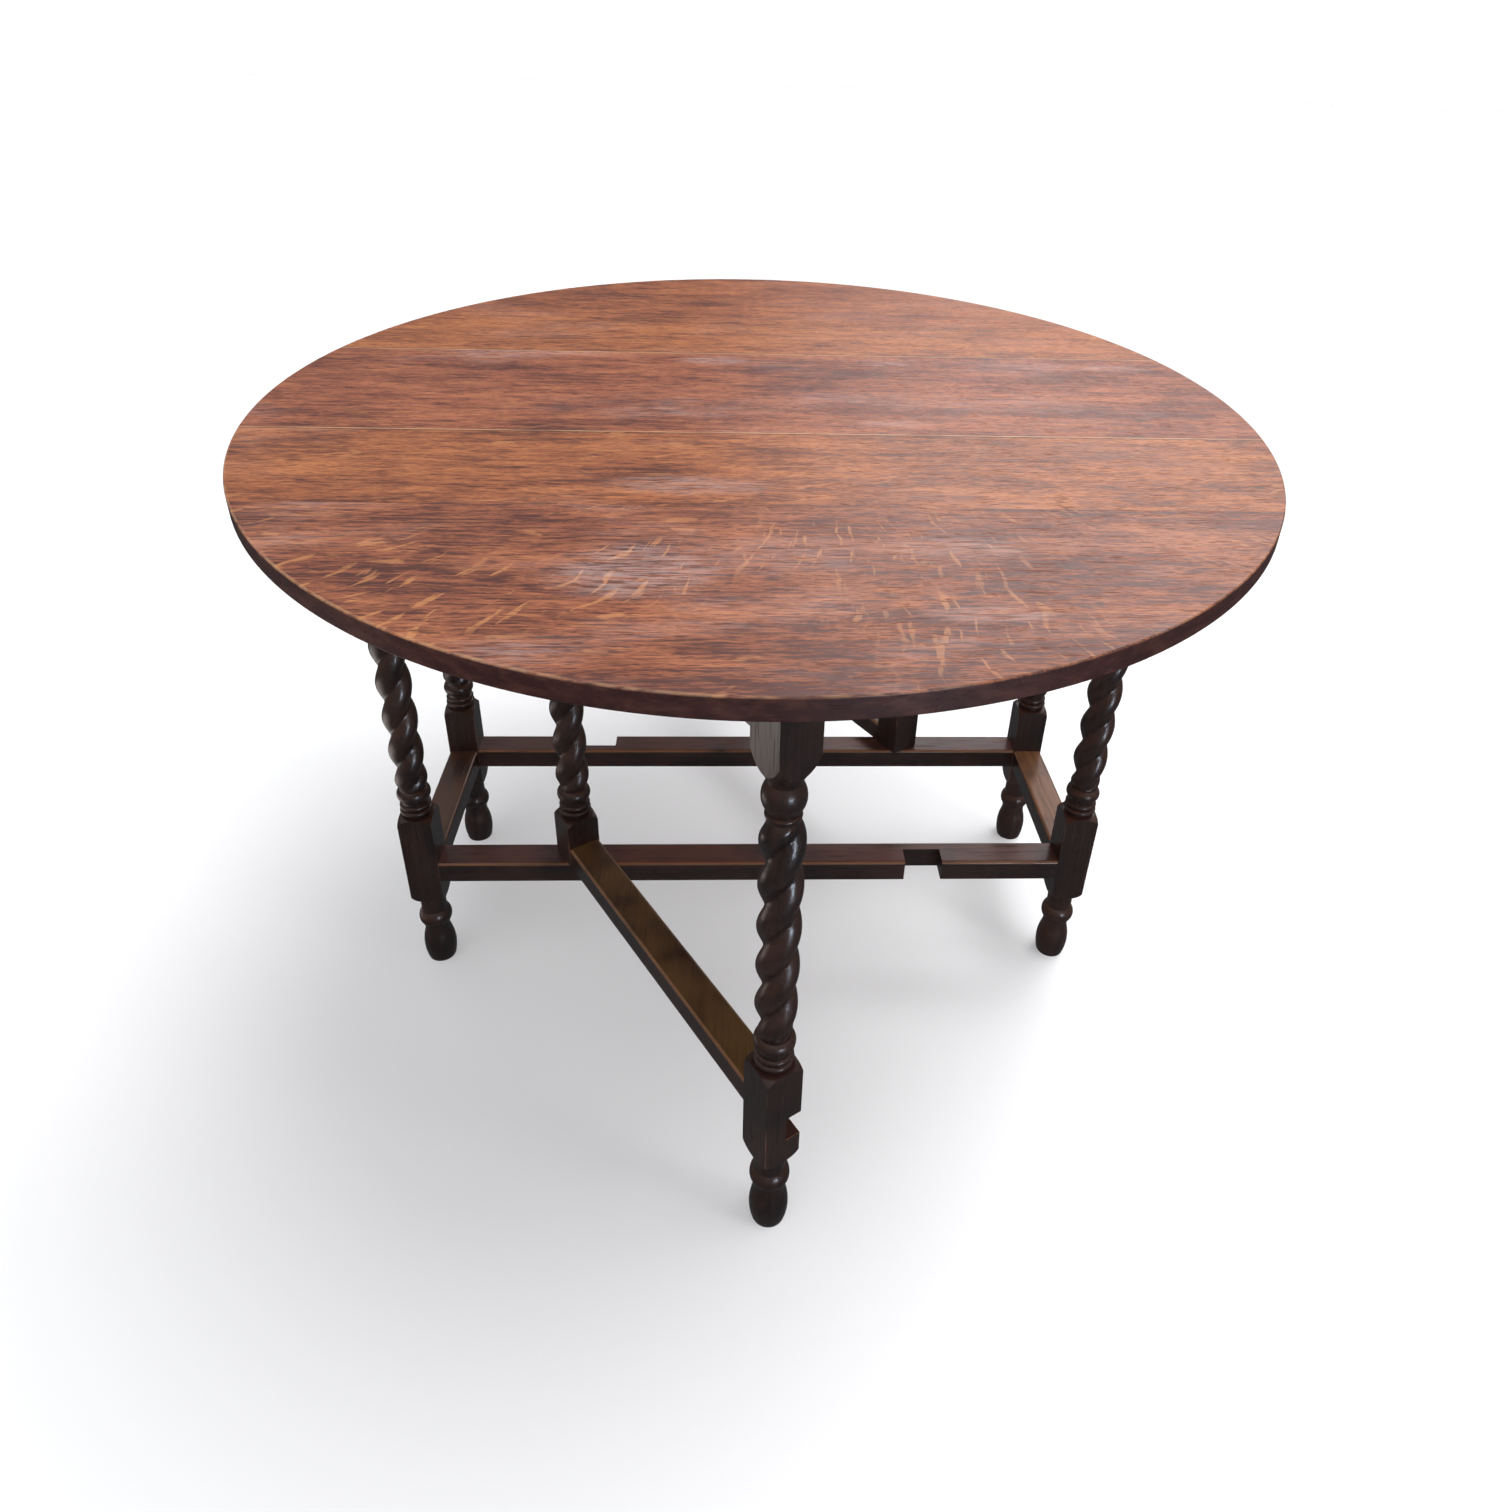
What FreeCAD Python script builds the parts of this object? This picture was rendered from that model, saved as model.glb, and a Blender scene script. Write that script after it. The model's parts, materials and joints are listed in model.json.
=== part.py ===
"""Oval gateleg dining table with barley-twist legs, both leaves raised on their gates.

Frame of the model: millimetres, +Z up, origin on the floor under the middle of the top.
X runs along the boards, Y across the two drop leaves.  The front leaf is on the -Y side.
The table is the same after half a turn about Z, so each front piece is modelled once and
the matching back piece is the same design turned by 180 degrees.
"""
import FreeCAD
import Part
import Sketcher
import math
import os
import re
from FreeCAD import Placement, Rotation, Vector

SIZES = [
    # name, value, what it is
    ("table_height", 740, "floor to the upper face of the top"),
    ("top_length", 1048, "oval top along X"),
    ("top_width", 1284, "oval top along Y, leaves raised"),
    ("top_thick", 18, "thickness of all boards"),
    ("arris", 1.5, "worn rounding of the oval edge"),
    ("joint_y", 156, "rule joint of each leaf, from the middle"),
    ("glue_y", 346, "glued joint inside each leaf, from the middle"),
    ("joint_step", 3, "square step above the rule joint's quarter round"),
    ("joint_gap", 0.4, "clearance in the rule joint"),
    ("leg_x", 416, "leg axis from the middle, along X"),
    ("leg_y", 123, "leg axis from the middle, along Y"),
    ("leg_stock", 41, "square section of legs and posts"),
    ("stretcher_low", 144, "floor to the underside of the stretchers"),
    ("stretcher_tall", 28, "height of stretchers and lower gate rails"),
    ("stretcher_wide", 40, "width of stretchers and lower gate rails"),
    ("edge_round", 4, "rounding of the upper edges of stretchers"),
    ("rail_tall", 65, "height of the rails under the top"),
    ("rail_thick", 22, "thickness of the rails under the top"),
    ("tenon_thick", 10, "tenon thickness"),
    ("tenon_deep", 15, "tenon length"),
    ("tenon_shoulder", 5, "shoulder above and below a tenon"),
    ("mortise_gap", 0.1, "clearance round a tenon"),
    ("pivot_x", 221, "pivot axis from the middle, along X"),
    ("gate_reach", 442, "pivot axis to the axis of the gate leg"),
    ("gate_open", 58, "angle of the open gate from its closed place"),
    ("gate_gap", 2, "clearance of the gate's lower rail above the stretcher"),
    ("gate_rail_tall", 40, "height of the gate's upper rail"),
    ("gate_rail_drop", 11, "space between that rail and the fixed rail above it"),
    ("gate_top_gap", 0.3, "clearance of the gate leg under the leaf"),
    ("post_gap", 1, "clearance above and below a pivot post"),
    ("pin_low_r", 9, "radius of a post's lower pin"),
    ("pin_high_r", 6, "radius of a post's upper pin"),
    ("pin_long", 20, "length of a pin inside its hole"),
    ("pin_run", 0.1, "radial running clearance of a pin"),
    ("notch_side", 3.5, "clearance each side of a gate leg in its notch"),
    ("notch_back", 2.5, "clearance between the two halves of a halving"),
    ("stretcher_web", 14, "stretcher left behind its notch"),
    ("rail_web", 10, "top rail left behind its notch"),
    ("block_under", 24, "square block below the stretchers"),
    ("block_over", 69, "square block above the stretchers"),
    ("block_high", 139, "square block under the top"),
    ("foot_base_r", 17.5, "radius of the foot on the floor"),
    ("foot_bulb_r", 20.5, "largest radius of the foot"),
    ("foot_tall", 49, "height of the foot's bulb"),
    ("neck_r", 16, "radius of the necks below the twist"),
    ("neck_high_r", 14.4, "radius of the necks above the twist"),
    ("ring_r", 20.8, "radius of the ring above the foot"),
    ("ring_tall", 23, "height of the ring above the foot"),
    ("bead_r", 19.6, "radius of the small beads"),
    ("bead_tall", 7, "height of a small bead"),
    ("bead_step", 0.8, "how much smaller the upper small bead is"),
    ("bead_lift", 3, "flat between the lower block and the first small bead"),
    ("bead_space", 1, "flat between the small beads"),
    ("cushion_space", 4, "flat below the ring under the twist"),
    ("twist_space", 2, "flat at each end of the twist"),
    ("collar_tall", 5, "thin ring above the twist"),
    ("collar_out", 1.5, "how far that ring stands out from the neck"),
    ("bun_space", 2, "flat between that ring and the ring above it"),
    ("bun_drop", 12, "from the upper ring to the block under the top"),
    ("shoulder_out", 1, "how far a block's turned end stands out from the neck"),
    ("cone_r", 20, "radius of the short cone under the upper block, at the block"),
    ("cone_tall", 8, "height of that cone"),
    ("cushion_r", 20.3, "radius of the ring below the twist"),
    ("cushion_tall", 17, "height of the ring below the twist"),
    ("bun_r", 19.2, "radius of the ring above the twist"),
    ("bun_tall", 28, "height of that ring"),
    ("lamb_tall", 12, "height of the turned corners of the lower block"),
    ("tongue_tall", 21, "height of the turned corners of the upper block"),
    ("twist_r", 20, "radius over the strands of the twist"),
    ("twist_core_r", 12.5, "radius at the bottom of the groove"),
    ("twist_pitch", 95, "rise of a strand in one full turn"),
    ("twist_fade", 14, "length over which the twist dies out at each end"),
    ("hinge_x", 350, "outer hinges from the middle"),
    ("hinge_wide", 32, "hinge along X"),
    ("flap_thick", 2, "hinge plate"),
    ("flap_board", 28, "flap on the middle board, from the pin"),
    ("flap_leaf", 45, "flap on the leaf, from the pin"),
    ("knuckle_r", 4.5, "hinge knuckle"),
    ("hinge_pin_r", 1.5, "hinge pin"),
    ("hinge_play", 0.2, "clearance inside a hinge and round it"),
    ("screw_head_r", 3.6, "countersunk head"),
    ("screw_r", 1.7, "shank"),
    ("screw_head_tall", 1.9, "countersunk head, height"),
    ("screw_long", 12, "hinge screw"),
    ("slot_wide", 0.9, "slot of a screw head, width"),
    ("slot_deep", 0.9, "slot of a screw head, depth"),
    ("screw_play", 0.1, "clearance round a screw"),
    ("stop_long", 60, "leaf stop block, along the gate"),
    ("stop_wide", 18, "leaf stop block, across the gate"),
    ("stop_tall", 15, "leaf stop block, height"),
    ("stop_screw_long", 27, "screw through the stop block"),
    ("top_screw_x", 330, "outer screws of the top from the middle"),
    ("top_screw_long", 32, "screw from a rail into the top"),
    ("top_screw_head_r", 4.4, "its head"),
    ("top_screw_r", 2.2, "its shank"),
    ("top_screw_head_tall", 1.9, "its countersunk head, height"),
    ("top_screw_bore_r", 5.5, "counterbore for its head"),
]

OVER = 1  # how far a cutting tool or a joined piece reaches past a face
PIN_ROOT = 5  # how far a pivot pin reaches into its post
GROOVE_SOFTNESS = 0.015  # 0 would leave a knife edge at the bottom of the twist's groove
TWIST_END = 0.5  # how far the twist's ends stay inside the neck
SECTION_POINTS = 24  # points round one section of the twist
SECTIONS_PER_TURN = 12  # sections in one full turn of a strand
FOOT_BULGE = 0.4  # where the foot is widest, as a share of its height
LAMB_BULGE = 0.68  # fullness of the turned corners of the lower block; 0.5 would be straight
TONGUE_BULGE = 0.56  # the same for the upper block
RING_LIFT = 0.3  # where the ring above the foot stands between foot and block
FLAP_SCREWS = ((0.28, 0.66, 0.52), (-0.28, 0.66, 0.52), (0, None, 0.84))  # shares of width and flaps
STOP_SCREWS = (-0.3, 0.3)  # shares of the stop block's length
GATE_LEG_TURN = 90  # a gate leg's turning against the other legs'
SLOT_TURN = 37  # each screw's slot is turned so many degrees further than the last

doc = FreeCAD.newDocument("gateleg_table")
sheet = doc.addObject("Spreadsheet::Sheet", "Sizes")
ALIASES = [name for name, _, _ in SIZES]
WORDS = re.compile(r"\b(" + "|".join(ALIASES) + r")\b")
for row, (name, value, note) in enumerate(SIZES, 1):
    sheet.set(f"A{row}", name)
    sheet.set(f"B{row}", str(value))
    sheet.set(f"C{row}", note)
    sheet.setAlias(f"B{row}", name)
doc.recompute()
SIZE = {name: float(sheet.get(name)) for name in ALIASES}

UNDERSIDE = "(table_height - top_thick)"
STRETCHER_TOP = "(stretcher_low + stretcher_tall)"
RAIL_LOW = f"({UNDERSIDE} - rail_tall)"
GATE_RAIL_LOW = f"({STRETCHER_TOP} + gate_gap)"
GATE_UPPER_LOW = f"({RAIL_LOW} - gate_rail_drop - gate_rail_tall)"
BLOCK_HIGH_LOW = f"({UNDERSIDE} - block_high)"
HALF_STOCK = "(leg_stock / 2)"
parts = []


# ---------------------------------------------------------------- small helpers
def bound(text):
    """The expression with each size name pointing at its cell."""
    return WORDS.sub(r"Sizes.\1", str(text))


def value(text):
    """The same expression worked out as a number."""
    holder = doc.getObject("Worked") or doc.addObject("App::FeaturePython", "Worked")
    if "answer" not in holder.PropertiesList:
        holder.addProperty("App::PropertyFloat", "answer")
    holder.setExpression("answer", bound(text))
    holder.recompute()
    return float(holder.answer)


def place(piece, x=0, y=0, z=0, turn=0):
    """Bind a piece's place and its turn about Z to the sheet."""
    piece.Placement = Placement(Vector(), Rotation(Vector(0, 0, 1), 1))
    for axis, text in zip("xyz", (x, y, z)):
        piece.setExpression(f"Placement.Base.{axis}", bound(text))
    piece.setExpression("Placement.Rotation.Angle", bound(turn))


def keep(piece, label):
    """List a finished sub-part under the name of its file."""
    piece.Label = label
    parts.append(piece)
    return piece


def box(name, corner, size):
    solid = doc.addObject("Part::Box", name)
    for side, text in zip(("Length", "Width", "Height"), size):
        solid.setExpression(side, bound(text))
    for axis, text in zip("xyz", corner):
        solid.setExpression(f"Placement.Base.{axis}", bound(text))
    return solid


def cylinder(name, centre, radius, tall):
    solid = doc.addObject("Part::Cylinder", name)
    solid.setExpression("Radius", bound(radius))
    solid.setExpression("Height", bound(tall))
    for axis, text in zip("xyz", centre):
        solid.setExpression(f"Placement.Base.{axis}", bound(text))
    return solid


def coded(name, shape):
    """A shape made by Part's own functions from the sheet's sizes."""
    solid = doc.addObject("Part::Feature", name)
    solid.Shape = shape
    return solid


def cut(name, base, *tools):
    """Base less its tools, checked to have lost some volume."""
    tool = tools[0]
    if len(tools) > 1:
        tool = doc.addObject("Part::Compound", name + "_tools")
        tool.Links = list(tools)
    result = doc.addObject("Part::Cut", name)
    result.Base = base
    result.Tool = tool
    doc.recompute()
    if result.Shape.Volume >= base.Shape.Volume:
        raise RuntimeError(f"{name}: the cut removed nothing")
    return result


def joined(name, *solids):
    result = doc.addObject("Part::MultiFuse", name)
    result.Shapes = list(solids)
    result.Refine = True
    return result


# ---------------------------------------------------------------- bars: rails and stretchers
def origin_plane(body, role):
    return next(item for item in body.Origin.OriginFeatures if item.Role == role)


def rectangle(body, name, lift, corner, size):
    """A fully constrained rectangle sketch, parallel to the body's XY plane."""
    sketch = body.newObject("Sketcher::SketchObject", name)
    sketch.AttachmentSupport = (origin_plane(body, "XY_Plane"), [""])
    sketch.MapMode = "FlatFace"
    sketch.setExpression("AttachmentOffset.Base.z", bound(lift))
    x, y, wide, tall = [value(text) for text in (*corner, *size)]
    corners = [Vector(x, y), Vector(x + wide, y), Vector(x + wide, y + tall), Vector(x, y + tall)]
    for start in range(4):
        sketch.addGeometry(Part.LineSegment(corners[start], corners[(start + 1) % 4]))
    for start in range(4):
        sketch.addConstraint(Sketcher.Constraint("Coincident", start, 2, (start + 1) % 4, 1))
    for line, kind in enumerate(("Horizontal", "Vertical", "Horizontal", "Vertical")):
        sketch.addConstraint(Sketcher.Constraint(kind, line))
    for kind, first, second, text in (
            ("DistanceX", (-1, 1), (0, 1), corner[0]), ("DistanceY", (-1, 1), (0, 1), corner[1]),
            ("DistanceX", (0, 1), (0, 2), size[0]), ("DistanceY", (1, 1), (1, 2), size[1])):
        number = sketch.addConstraint(Sketcher.Constraint(kind, *first, *second, value(text)))
        sketch.setExpression(f"Constraints[{number}]", bound(text))
    return sketch


def pad(body, name, lift, corner, size, tall):
    feature = body.newObject("PartDesign::Pad", name)
    feature.Profile = rectangle(body, name + "_sketch", lift, corner, size)
    feature.setExpression("Length", bound(tall))
    doc.recompute()
    return feature


def pocket(body, name, lift, corner, size, tall):
    """A pocket upwards from its sketch, checked to have removed material."""
    before = body.Shape.Volume
    feature = body.newObject("PartDesign::Pocket", name)
    feature.Profile = rectangle(body, name + "_sketch", lift, corner, size)
    feature.setExpression("Length", bound(tall))
    feature.Reversed = True
    doc.recompute()
    if feature.Shape.Volume >= before:
        raise RuntimeError(f"{name}: the pocket removed nothing")
    return feature


def round_upper_edges(body, radius, height):
    """Fillet the body's long upper edges, those along X at the given height."""
    base = body.Tip
    longest = max(edge.Length for edge in base.Shape.Edges)
    names = [f"Edge{number}" for number, edge in enumerate(base.Shape.Edges, 1)
             if edge.Length > 0.75 * longest and abs(edge.CenterOfMass.z - height) < 0.01]
    fillet = body.newObject("PartDesign::Fillet", body.Name + "_round")
    fillet.Base = (base, names)
    fillet.setExpression("Radius", bound(radius))
    doc.recompute()


def bar(label, span, wide, tall, rounded=False, notch_at=None, web=None):
    """A rail or stretcher with a tenon at each end.

    Its own frame starts at the end of one tenon, on the outer face and the underside.
    A notch is cut through its full height from the outer face, leaving the web behind it.
    """
    body = doc.addObject("PartDesign::Body", label + "_body")
    pad(body, label + "_main", 0, ("tenon_deep", 0), (span, wide), tall)
    if rounded:
        round_upper_edges(body, "edge_round", value(tall))
    pad(body, label + "_tenons", "tenon_shoulder", (0, f"({wide} - tenon_thick) / 2"),
        (f"{span} + 2 * tenon_deep", "tenon_thick"), f"{tall} - 2 * tenon_shoulder")
    if notch_at:
        pocket(body, label + "_notch", 0, (f"tenon_deep + {notch_at} - {HALF_STOCK} - notch_side", 0),
               ("leg_stock + 2 * notch_side", f"{wide} - {web}"), tall)
    return body


def bored(name, body, corner_x, radius, side, wide, tall):
    """The bar with the blind hole of a pivot pin, from above or from below."""
    deep = "(pin_long + post_gap)"
    start = f"{tall} - {deep}" if side == "above" else "0"
    drill = cylinder(name + "_drill", (corner_x, f"{wide} / 2", start), f"{radius} + pin_run", deep)
    return cut(name, body, drill)


# ---------------------------------------------------------------- turned legs and posts
def turned(outline):
    """A solid of revolution; each step is (r, z) or, for an arc, (r, z, r of middle, z of middle)."""
    edges = []
    last = Vector(0, 0, outline[0][1])
    for step in outline:
        point = Vector(step[0], 0, step[1])
        if len(step) == 4:
            edges.append(Part.Arc(last, Vector(step[2], 0, step[3]), point).toShape())
        elif point.distanceToPoint(last) > 1e-6:
            edges.append(Part.LineSegment(last, point).toShape())
        last = point
    axis_end = Vector(0, 0, last.z)
    edges.append(Part.LineSegment(last, axis_end).toShape())
    edges.append(Part.LineSegment(axis_end, Vector(0, 0, outline[0][1])).toShape())
    face = Part.Face(Part.Wire(edges))
    return face.revolve(Vector(), Vector(0, 0, 1), 360)


def bead(outline, bottom, tall, radius, neck):
    """Add a half-round bead between two necks to an outline."""
    outline += [(neck, bottom), (neck, bottom + tall, radius, bottom + tall / 2)]


def squared(bottom, top, low_end=None, high_end=None):
    """A square block; the corners are turned off at an end of (radius, height, fullness)."""
    half = SIZE["leg_stock"] / 2
    corner = half * math.sqrt(2) + OVER
    square = Part.makeBox(2 * half, 2 * half, top - bottom, Vector(-half, -half, bottom))
    outline = [(corner, bottom), (corner, top)]
    if low_end:
        radius, tall, full = low_end
        middle = (radius + full * (corner - radius), bottom + (1 - full) * tall)
        outline[:1] = [(radius, bottom), (corner, bottom + tall, *middle)]
    if high_end:
        radius, tall, full = high_end
        middle = (radius + full * (corner - radius), top - (1 - full) * tall)
        outline[-1:] = [(corner, top - tall), (radius, top, *middle)]
    return square.common(turned(outline))


def strand_section(turn, fade, height, end_r):
    """Points round one section of the two-strand twist, which meets in a groove on each side."""
    points = []
    for step in range(SECTION_POINTS + 1):
        angle = 2 * math.pi * step / SECTION_POINTS
        swell = math.sqrt((math.cos(angle) ** 2 + GROOVE_SOFTNESS) / (1 + GROOVE_SOFTNESS))
        radius = SIZE["twist_core_r"] + (SIZE["twist_r"] - SIZE["twist_core_r"]) * swell
        radius = end_r + (radius - end_r) * fade
        points.append(Vector(radius * math.cos(angle + turn), radius * math.sin(angle + turn), height))
    return points


def twist(bottom, top):
    """The right-handed barley twist: one surface through turned copies of its section, capped."""
    turns = (top - bottom) / SIZE["twist_pitch"]
    count = max(SECTIONS_PER_TURN // 2, round(turns * SECTIONS_PER_TURN))
    sections = []
    for step in range(count + 1):
        along = (top - bottom) * step / count
        ends = min(along, top - bottom - along) / SIZE["twist_fade"]
        fade = math.sin(math.pi / 2 * min(1, ends))
        end_r = SIZE["neck_r" if 2 * step < count else "neck_high_r"] - TWIST_END
        sections.append(strand_section(2 * math.pi * turns * step / count, fade, bottom + along, end_r))
    surface = Part.BSplineSurface()
    surface.interpolate(sections)
    side = surface.toShape()
    caps = [Part.Face(Part.Wire([edge])) for edge in side.Edges if edge.BoundBox.ZLength < 1]
    shell = Part.makeShell([side] + caps)
    shell.sewShape()
    return Part.makeSolid(shell)


def spindle(bottom, top):
    """Everything turned between the lower and the upper block: beads, twist and rings."""
    neck, beads = SIZE["neck_r"], SIZE["bead_tall"]
    low = [(neck, bottom - OVER)]
    rise = bottom + SIZE["bead_lift"]
    bead(low, rise, beads, SIZE["bead_r"], neck)
    rise += beads + SIZE["bead_space"]
    bead(low, rise, beads, SIZE["bead_r"] - SIZE["bead_step"], neck)
    rise += beads + SIZE["cushion_space"]
    bead(low, rise, SIZE["cushion_tall"], SIZE["cushion_r"], neck)
    twist_low = rise + SIZE["cushion_tall"] + SIZE["twist_space"]
    low.append((neck, twist_low))
    bun = top - SIZE["bun_drop"] - SIZE["bun_tall"]
    collar = bun - SIZE["bun_space"] - SIZE["collar_tall"]
    twist_high = collar - SIZE["twist_space"]
    neck = SIZE["neck_high_r"]
    high = [(neck, twist_high)]
    bead(high, collar, SIZE["collar_tall"], neck + SIZE["collar_out"], neck)
    bead(high, bun, SIZE["bun_tall"], SIZE["bun_r"], neck)
    cone = SIZE["cone_r"]
    high += [(neck + SIZE["shoulder_out"], top - SIZE["cone_tall"]), (cone, top), (cone, top + OVER)]
    return turned(low).fuse([turned(high), twist(twist_low, twist_high)])


def foot(block_start):
    """The bulbous foot with the ring between it and the lower block."""
    neck = SIZE["neck_r"]
    tall, ring = SIZE["foot_tall"], SIZE["ring_tall"]
    outline = [(SIZE["foot_base_r"], 0)]
    outline.append((neck, tall, SIZE["foot_bulb_r"], FOOT_BULGE * tall))
    spare = block_start - tall - ring
    bead(outline, tall + RING_LIFT * spare, ring, SIZE["ring_r"], neck)
    outline.append((neck, block_start + OVER))
    return turned(outline)


BLOCK_LOW = value("stretcher_low - block_under") - SIZE["lamb_tall"]
BLOCK_LOW_TOP = value(f"{STRETCHER_TOP} + block_over")
BLOCK_HIGH = value(BLOCK_HIGH_LOW)
SPINDLE = spindle(BLOCK_LOW_TOP, BLOCK_HIGH)
LAMB = (value("neck_r + shoulder_out"), SIZE["lamb_tall"], LAMB_BULGE)
TONGUE = (SIZE["cone_r"], SIZE["tongue_tall"], TONGUE_BULGE)


def leg_column(top):
    """A whole leg from the floor up, without its joints."""
    pieces = [foot(BLOCK_LOW), squared(BLOCK_LOW, BLOCK_LOW_TOP, LAMB, LAMB), SPINDLE,
              squared(BLOCK_HIGH, top, TONGUE)]
    return pieces[0].fuse(pieces[1:])


def post_column(bottom, top):
    """A pivot post standing on the stretcher, without its pins."""
    pieces = [squared(bottom, BLOCK_LOW_TOP, None, LAMB), squared(BLOCK_HIGH, top, TONGUE)]
    return SPINDLE.fuse(pieces)


def mortise(name, side, low, tall):
    """The socket for a tenon that comes into a leg from +X, -X, +Y or -Y."""
    wide = "(tenon_thick + 2 * mortise_gap)"
    deep = "(tenon_deep + mortise_gap)"
    start = f"{HALF_STOCK} - {deep}" if side[0] == "+" else f"-{HALF_STOCK}"
    z = f"{low} + tenon_shoulder - mortise_gap"
    size_z = f"{tall} - 2 * tenon_shoulder + 2 * mortise_gap"
    if side[1] == "X":
        return box(name, (start, f"-{wide} / 2", z), (deep, wide, size_z))
    return box(name, (f"-{wide} / 2", start, z), (wide, deep, size_z))


LEG_SHAPE = leg_column(value(UNDERSIDE))


def frame_leg(label, x_side, y_side, turn):
    """A fixed leg; x_side and y_side say on which of its faces the bars arrive."""
    column = coded(label + "_column", LEG_SHAPE)
    sockets = []
    for side in (x_side, y_side):
        sockets.append(mortise(f"{label}_low_{side[1]}", side, "stretcher_low", "stretcher_tall"))
        sockets.append(mortise(f"{label}_high_{side[1]}", side, RAIL_LOW, "rail_tall"))
    leg = cut(label + "_cut", column, *sockets)
    sign_x, sign_y = ("-" if (side[0] == "+") != bool(turn) else "" for side in (x_side, y_side))
    place(leg, f"{sign_x}leg_x", f"{sign_y}leg_y", 0, turn)
    return keep(leg, label)


# ---------------------------------------------------------------- the fixed frame
def frame_bars(side, turn):
    """Long stretcher, long rail, end stretcher and end rail of one half of the frame."""
    end = {"front": "left", "back": "right"}[side]
    sign = "-" if not turn else ""
    long_span = "(2 * leg_x - leg_stock)"
    short_span = "(2 * leg_y - leg_stock)"
    start = f"{long_span} / 2"
    notch = f"({start} - pivot_x + gate_reach)"
    pivot = f"tenon_deep + {start} - pivot_x"
    long_x = f"({start} + tenon_deep)"

    stretcher = bar(f"long_stretcher_{side}", long_span, "stretcher_wide", "stretcher_tall",
                    True, notch, "stretcher_web")
    stretcher = bored(f"long_stretcher_{side}_bored", stretcher, pivot, "pin_low_r", "above",
                      "stretcher_wide", "stretcher_tall")
    rail = bar(f"long_rail_{side}", long_span, "rail_thick", "rail_tall", False, notch, "rail_web")
    rail = bored(f"long_rail_{side}_bored", rail, pivot, "pin_high_r", "below",
                 "rail_thick", "rail_tall")
    rail = cut(f"long_rail_{side}_drilled", rail, top_screw_holes(f"{side}_rail", long_x))
    for piece, label, wide, low in (
            (stretcher, "long_stretcher", "stretcher_wide", "stretcher_low"),
            (rail, "long_rail", "rail_thick", RAIL_LOW)):
        x = f"{'' if turn else '-'}{long_x}"
        y = f"{sign}(leg_y + {wide} / 2)"
        place(piece, x, y, low, turn)
        keep(piece, f"{label}_{side}")

    for label, wide, tall, low, rounded in (
            ("end_stretcher", "stretcher_wide", "stretcher_tall", "stretcher_low", True),
            ("end_rail", "rail_thick", "rail_tall", RAIL_LOW, False)):
        piece = bar(f"{label}_{end}", short_span, wide, tall, rounded)
        x = f"{sign}(leg_x + {wide} / 2)"
        y = f"{'-' if turn else ''}({short_span} / 2 + tenon_deep)"
        place(piece, x, y, low, f"{turn} - 90")
        keep(piece, f"{label}_{end}")


# ---------------------------------------------------------------- screws
def screw(x, y, z, kind, long, play=0.0):
    """A countersunk screw that points up from its head at z; with play it is only its clearance."""
    head_r, shank_r, tall = (SIZE[f"{kind}_{size}"] for size in ("head_r", "r", "head_tall"))
    head = Part.makeCone(head_r + play, shank_r + play, tall, Vector(x, y, z))
    shank = Part.makeCylinder(shank_r + play, long - tall, Vector(x, y, z + tall))
    return head.fuse(shank).removeSplitter()


def screws(kind, long, places, z, play=0.0):
    """A row of screws at (x, y) places; the real ones have slotted heads."""
    row = [screw(x, y, z, kind, long + play, play) for x, y in places]
    if play:
        return row
    reach = SIZE[f"{kind}_head_r"] + OVER
    slotted = []
    for number, (solid, (x, y)) in enumerate(zip(row, places)):
        slot = Part.makeBox(2 * reach, SIZE["slot_wide"], SIZE["slot_deep"] + OVER,
                            Vector(-reach, -SIZE["slot_wide"] / 2, z - OVER))
        slot.rotate(Vector(), Vector(0, 0, 1), SLOT_TURN * number)
        slot.translate(Vector(x, y, 0))
        slotted.append(solid.cut(slot))
    return slotted


def hinge_screws(play=0.0):
    """The screws of the three front hinges."""
    wide, axis = SIZE["hinge_wide"], -SIZE["joint_y"]
    places = []
    for way in (-1, 0, 1):
        for across, on_board, on_leaf in FLAP_SCREWS:
            x = way * SIZE["hinge_x"] + across * wide
            if on_board:
                places.append((x, axis + on_board * SIZE["flap_board"]))
            places.append((x, axis - on_leaf * SIZE["flap_leaf"]))
    return screws("screw", SIZE["screw_long"], places, value(UNDERSIDE), play)


def stop_screws(play=0.0):
    """The screws through the front leaf stop."""
    angle = math.radians(SIZE["gate_open"])
    along = Vector(math.cos(angle), -math.sin(angle), 0)
    across = Vector(-math.sin(angle), -math.cos(angle), 0)
    out = value(f"{HALF_STOCK} + gate_top_gap + stop_wide / 2")
    middle = Vector(-SIZE["pivot_x"], -SIZE["leg_y"], 0) + along * SIZE["gate_reach"] + across * out
    spots = [middle + along * (share * SIZE["stop_long"]) for share in STOP_SCREWS]
    return screws("screw", SIZE["stop_screw_long"], [(spot.x, spot.y) for spot in spots],
                  value(f"{UNDERSIDE} - stop_tall"), play)


TOP_SCREW_HEAD = f"{UNDERSIDE} - top_screw_long + 2 * top_thick / 3"
TOP_SCREW_PLACES = [(way * SIZE["top_screw_x"], -SIZE["leg_y"]) for way in (-1, 0, 1)]


def top_screws(play=0.0):
    """Screws from the front rail up into the middle board."""
    return screws("top_screw", SIZE["top_screw_long"], TOP_SCREW_PLACES, value(TOP_SCREW_HEAD), play)


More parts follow.
